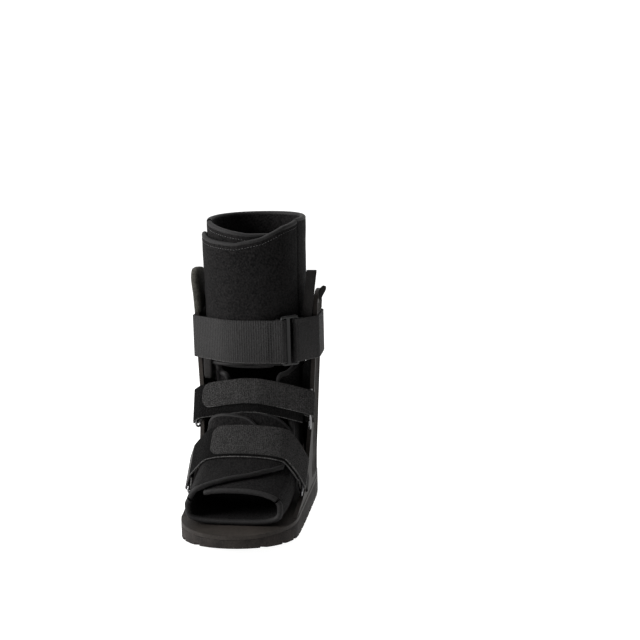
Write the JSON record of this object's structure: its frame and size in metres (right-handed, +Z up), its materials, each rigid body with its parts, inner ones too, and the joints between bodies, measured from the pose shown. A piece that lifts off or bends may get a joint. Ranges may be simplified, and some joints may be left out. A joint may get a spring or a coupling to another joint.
{
  "type": "walking boot",
  "caption": "Short orthopaedic walking boot with a rocker sole, two side struts, a wrapped padded liner and hook-and-loop straps.",
  "frame": {"origin": "on the floor under the ankle, at the rocker sole's flat stretch, midway between the struts", "axes": "+Z up; -Y to the toe; +X to the side where the top strap's buckle lies"},
  "size_m": [0.1398, 0.2803, 0.3151],
  "materials": {
    "rubber": "black rubber, worn matte",
    "shell": "dark brown moulded plastic",
    "liner": "black fleece",
    "webbing": "ribbed dark grey webbing",
    "loop_pile": "black loop pile",
    "grey_pile": "grey brushed pile",
    "buckle": "black plastic, semi-gloss",
    "wire": "steel wire"
  },
  "bodies": {
    "root": {"outsole": "rubber", "shell": "shell", "liner_body": "liner", "calf_flap_under": "liner", "calf_flap_over": "liner", "foot_flap_under": "liner", "foot_flap_over": "liner", "top_strap": "webbing", "top_buckle": "buckle", "pull_tab": "webbing", "middle_strap": "loop_pile", "middle_strap_tab": "grey_pile", "middle_strap_left_ring": "wire", "middle_strap_left_chape": "webbing", "middle_strap_right_ring": "wire", "middle_strap_right_chape": "webbing", "lower_strap": "loop_pile", "lower_strap_tab": "grey_pile", "lower_strap_left_ring": "wire", "lower_strap_left_chape": "webbing", "lower_strap_right_ring": "wire", "lower_strap_right_chape": "webbing"}
  },
  "joints": []
}
